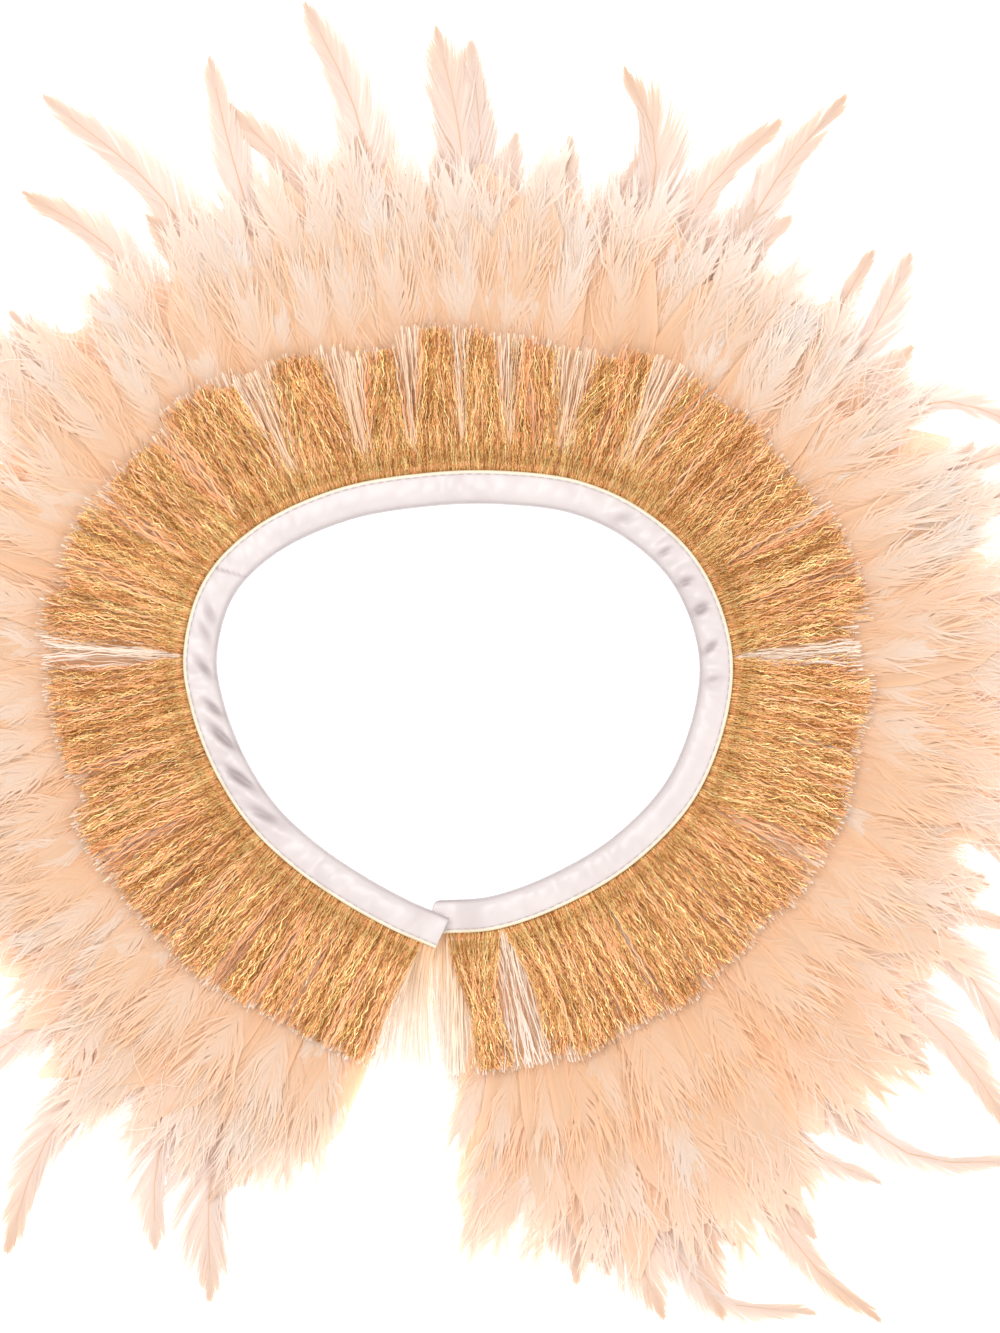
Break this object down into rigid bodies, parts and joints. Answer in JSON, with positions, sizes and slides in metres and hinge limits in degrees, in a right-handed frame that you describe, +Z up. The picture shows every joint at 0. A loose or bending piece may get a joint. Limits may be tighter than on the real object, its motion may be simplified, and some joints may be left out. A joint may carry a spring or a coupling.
{
  "type": "feather collar necklace",
  "caption": "Feather collar necklace lying flat: a folded satin neck binding holds gold and pink thread fringes over rows of peach feathers, with an open neck.",
  "frame": {"origin": "under the middle of the collar's box, on the surface that it lies on", "axes": "+Z up from the surface, +Y away from the closure, +X to the right as seen from above"},
  "size_m": [0.3428, 0.3834, 0.0198],
  "materials": {
    "satin": "pale pink satin",
    "gold_thread": "gold metal thread",
    "pink_thread": "pale pink soft thread",
    "feather_fluff": "peach down",
    "feather_blade": "pale peach feather",
    "snap_metal": "plated"
  },
  "bodies": {
    "root": {"satin_binding": "satin", "gold_fringe": "gold_thread", "pink_fringe": "pink_thread", "feather_fluff": "feather_fluff", "feather_blades": "feather_blade", "snap_fastener": "snap_metal"}
  },
  "joints": []
}
